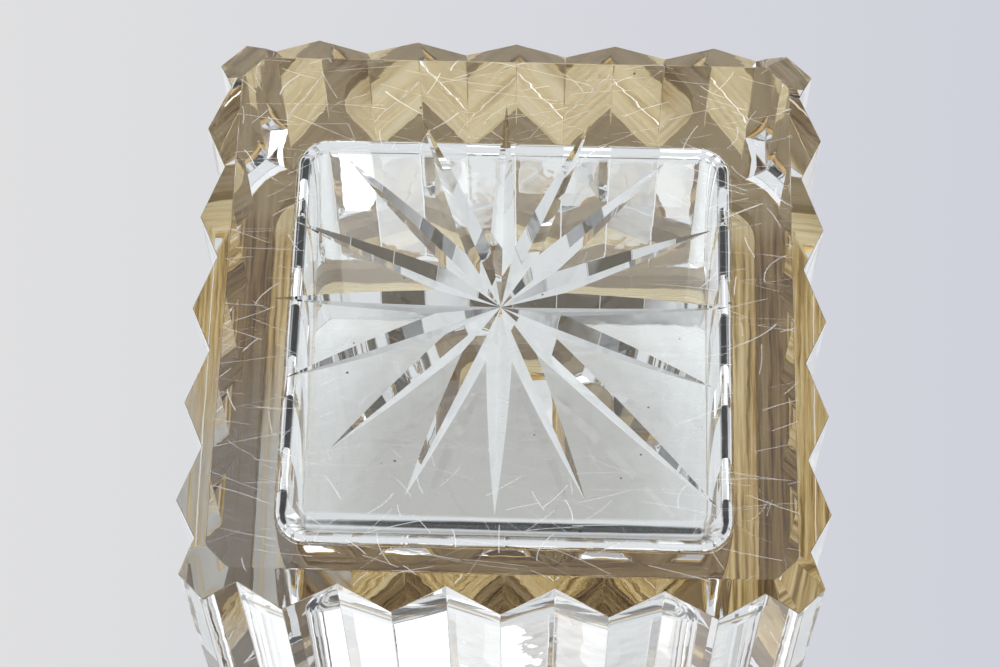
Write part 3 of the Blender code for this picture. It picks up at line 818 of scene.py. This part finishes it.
for node, name, body in (
    ("lower_mount", "gilt_collar", "jar"),
    ("upper_mount", "gilt_lid_frame", "lid"),
):
    low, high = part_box(node)
    gilt = gilt_material(f"fire_gilt_brass_{body}", low.z, high.z)
    bm = cad_copy(node)
    ease_edges(bm, MOUNT_EDGE, least_angle=25.0, segments=2)
    piece = soften(to_piece(name, bm, gilt), round_below=40.0)
    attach(piece, body)
    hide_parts(node)

# Hinge.
# Two stamped leaves with knuckles curled from the same strip, a drawn brass pin and a turned
# finial pressed on each end. The leaves and the thumb lift are gilt as the mounts are, and held
# by domed brass rivets.

BRASS_CLOUD = 0.9 * MM
BRASS_RELIEF = 0.03 * MM

hinge_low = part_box("hinge_leaf_lower")[0]
hinge_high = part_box("hinge_leaf_upper")[1]
hinge_gilt = gilt_material("fire_gilt_brass_hinge", hinge_low.z, hinge_high.z)


def drawn_brass():
    """Drawn brass, hand-filed and never gilt: yellower than the mounts, browned by handling."""
    material, tree, shader = new_material("drawn_brass_filed", Metallic=1.0)
    place = add(tree, "ShaderNodeTexCoord").outputs["Object"]
    clouds = add(
        tree,
        "ShaderNodeTexNoise",
        {"Vector": place, "Scale": 1 / BRASS_CLOUD, "Detail": 4.0, "Roughness": 0.6},
    ).outputs["Fac"]
    colour = add(
        tree,
        "ShaderNodeValToRGB",
        {"Fac": clouds},
        steps=((0.32, "D8B76A"), (0.55, "BF984C"), (0.75, "84602C")),
    )
    tree.links.new(colour.outputs["Color"], shader.inputs["Base Color"])
    rough = add(tree, "ShaderNodeMapRange", {"Value": clouds, "To Min": 0.2, "To Max": 0.55})
    tree.links.new(rough.outputs["Result"], shader.inputs["Roughness"])
    bump = add(tree, "ShaderNodeBump", {"Height": clouds, "Strength": 0.5, "Distance": BRASS_RELIEF})
    tree.links.new(bump.outputs["Normal"], shader.inputs["Normal"])
    return material


brass = drawn_brass()
for node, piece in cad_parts.items():
    if "rivet" in node or node == "hinge_pin":
        piece.material_slots[0].material = brass
    elif node.startswith("hinge") or node == "thumb_lift":
        piece.material_slots[0].material = hinge_gilt

# Studio.
# The jar stands on a pale sheet, lit by two soft boxes, in a pale room with brighter and darker
# patches for the glass to show. Only the eye sees the sheet, and only from above, so the star in
# the base can be looked at from below.

FLOOR_HALF = 6.0
FLOOR_Z = -0.2 * MM
PAPER_GRAIN = 1.5 * MM

# Matt paper: even and pale, with a faint grain.
floor_paper, tree, shader = new_material("pale_paper_sweep", Roughness=0.85)
grain = add(
    tree,
    "ShaderNodeTexNoise",
    {"Vector": add(tree, "ShaderNodeTexCoord").outputs["Object"], "Scale": 1 / PAPER_GRAIN},
).outputs["Fac"]
paper = add(tree, "ShaderNodeValToRGB", {"Fac": grain}, steps=((0.3, "A6A6A9"), (0.7, "ADADAF")))
tree.links.new(paper.outputs["Color"], shader.inputs["Base Color"])
facing = add(tree, "ShaderNodeNewGeometry").outputs["Backfacing"]
see_through = add(tree, "ShaderNodeBsdfTransparent")
one_sided = add(
    tree,
    "ShaderNodeMixShader",
    {0: facing, 1: shader.outputs["BSDF"], 2: see_through.outputs["BSDF"]},
)
tree.links.new(one_sided.outputs["Shader"], tree.nodes["Material Output"].inputs["Surface"])
bm = bmesh.new()
bmesh.ops.create_grid(
    bm, x_segments=2, y_segments=2, size=FLOOR_HALF, matrix=Matrix.Translation((0, 0, FLOOR_Z))
)
floor = to_piece("studio_floor", bm, floor_paper)
if floor.data.polygons[0].normal.z < 0:  # an open sheet has no outside to turn its faces to
    floor.data.flip_normals()
floor.visible_diffuse = False
floor.visible_glossy = False
floor.visible_transmission = False
floor.visible_shadow = False

# The room's levels are linear brightness, not surface colours.
DARK = (0.015, 0.015, 0.015, 1.0)
BROWN = (0.10, 0.08, 0.05, 1.0)
ROOM = (0.76, 0.78, 0.81, 1.0)
ROOM_FOR_MATT = (2.1, 2.1, 2.15, 1.0)  # brighter and even, so that matt surfaces are well lit
BACKDROP_SPREAD = 0.26
ROOM_PATCHES = (  # direction, the cosines where a patch starts and is full, and its level
    ((0.0, 0.50, 0.87), 0.975, 0.995, (0.90, 0.935, 0.97, 1.0)),  # bright sheet behind the jar
    ((0.016, 0.375, 0.927), 0.9955, 0.9990, (0.46, 0.455, 0.44, 1.0)),  # a grey shade on it
    ((0.0, -0.22, 0.975), 0.955, 0.980, (0.42, 0.42, 0.43, 1.0)),  # grey overhead, a little to the front
    ((0.0, -0.50, 0.86), 0.985, 0.996, (1.0, 1.0, 0.98, 1.0)),  # light on the collar's inner edge
    ((0.0, 0.15, 0.989), 0.9945, 0.9975, DARK),  # small and dark, almost overhead
    ((0.66, 0.40, 0.50), 0.945, 0.970, DARK),  # dark, up at both sides towards the back
    ((-0.66, 0.40, 0.50), 0.945, 0.970, DARK),
    ((0.22, 0.70, 0.66), 0.990, 0.9965, BROWN),  # two small brown ones high at the back
    ((-0.28, 0.70, 0.64), 0.990, 0.9965, BROWN),
    ((1.0, 0.0, -0.15), 0.80, 0.88, DARK),  # dark walls at both sides of the room
    ((-1.0, 0.0, -0.15), 0.80, 0.88, DARK),
    (VIEW_BACK, 0.84, 0.90, DARK),  # dark room below the base, where the camera stands
)

world = bpy.data.worlds.new("pale_room")
bpy.context.scene.world = world
world.use_nodes = True
tree = world.node_tree
tree.nodes.clear()
direction = add(tree, "ShaderNodeTexCoord").outputs["Generated"]


def toward(axis, start, end):
    """From 0 to 1 as a direction turns towards an axis, between two cosines."""
    turn = add(
        tree, "ShaderNodeVectorMath", {0: direction, 1: axis}, operation="DOT_PRODUCT"
    ).outputs["Value"]
    return add(
        tree, "ShaderNodeMapRange", {"Value": turn, "From Min": start, "From Max": end}
    ).outputs["Result"]


room = ROOM
for axis, outer, inner, level in ROOM_PATCHES:
    patch = toward(Vector(axis).normalized(), outer, inner)
    room = add(
        tree, "ShaderNodeMix", {"Factor": patch, "A": room, "B": level}, data_type="RGBA"
    ).outputs["Result"]
light_path = add(tree, "ShaderNodeLightPath")
onto_matt = add(
    tree,
    "ShaderNodeMath",
    {0: light_path.outputs["Diffuse Depth"], 1: 0.5},
    operation="GREATER_THAN",
).outputs["Value"]
room_light = add(
    tree, "ShaderNodeMix", {"Factor": onto_matt, "A": room, "B": ROOM_FOR_MATT}, data_type="RGBA"
)
backdrop = add(
    tree,
    "ShaderNodeMix",
    {
        "Factor": toward((1.0, 0.0, 0.0), -BACKDROP_SPREAD, BACKDROP_SPREAD),
        "A": linear("CBCDD9"),
        "B": linear("E2E2E2"),
    },
    data_type="RGBA",
)
lit = add(tree, "ShaderNodeBackground", {"Color": room_light.outputs["Result"]})
behind = add(tree, "ShaderNodeBackground", {"Color": backdrop.outputs["Result"]})
both = add(
    tree,
    "ShaderNodeMixShader",
    {
        0: light_path.outputs["Is Camera Ray"],
        1: lit.outputs["Background"],
        2: behind.outputs["Background"],
    },
)
add(tree, "ShaderNodeOutputWorld", {"Surface": both.outputs["Shader"]})

JAR_MIDDLE = Vector((0.0, 0.0, 40 * MM))


def soft_light(name, place, size, energy):
    """A square soft box that faces the jar."""
    data = bpy.data.lights.new(name, "AREA")
    data.energy = energy
    data.size = size
    light = bpy.data.objects.new(name, data)
    light.location = place
    aim = JAR_MIDDLE - Vector(place)
    light.rotation_euler = aim.to_track_quat("-Z", "Y").to_euler()
    bpy.context.scene.collection.objects.link(light)


soft_light("window_light", place=(-0.5, 0.9, 0.25), size=0.6, energy=1.3)
soft_light("overhead_light", place=(0.25, -0.3, 0.9), size=0.5, energy=0.7)

scene = bpy.context.scene
scene.view_settings.view_transform = "Standard"
scene.cycles.max_bounces = 24
scene.cycles.transmission_bounces = 24
scene.cycles.glossy_bounces = 12
